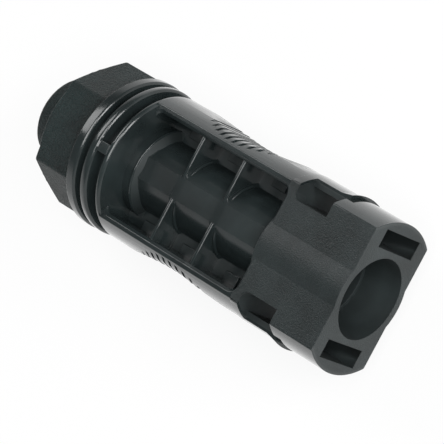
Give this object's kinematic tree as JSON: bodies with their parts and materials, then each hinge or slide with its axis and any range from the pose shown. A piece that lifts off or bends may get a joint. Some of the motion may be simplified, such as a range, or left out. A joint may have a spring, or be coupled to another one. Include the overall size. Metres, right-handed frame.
{
  "type": "solar panel cable connector, socket half",
  "caption": "Black moulded cable connector half for solar panels: round bar with side flats, a mating bore between two latch slots, ribbed side pockets, a pin contact and a screwed cable gland.",
  "frame": {"origin": "centre of the mating bore on the front face", "axes": "+X out of the mating face along the bore, +Z the outward normal of one flat side, +Y towards one latch slot"},
  "size_m": [0.0515, 0.0196, 0.0194],
  "materials": {
    "housing_plastic": "moulded black polyamide, glossy on the grip and rings, fine spark texture on the front block",
    "nut_plastic": "moulded black polyamide with a fine spark texture",
    "cage_plastic": "moulded dark polyamide",
    "seal_rubber": "soft black rubber",
    "contact_metal": "turned copper alloy, tin plated",
    "clip_steel": "stamped spring steel"
  },
  "bodies": {
    "body": {"housing": "housing_plastic", "contact": "contact_metal", "contact_clip": "clip_steel"},
    "clamp": {"clamp_cage": "cage_plastic", "cable_seal": "seal_rubber"},
    "nut": {"gland_nut": "nut_plastic"}
  },
  "joints": [
    {"name": "clamp_slide", "type": "slide", "parent": "body", "child": "clamp", "axis": [-1, 0, 0], "range_m": [0, 0.00375]},
    {"name": "nut_turn", "type": "hinge", "parent": "clamp", "child": "nut", "pos_m": [-0.0438, 0, 0], "axis": [-1, 0, 0], "range_deg": [0, 902]}
  ],
  "couplings": [
    {"joint": "nut_turn", "follows": "clamp_slide", "rad_per_m": 4188.8}
  ]
}
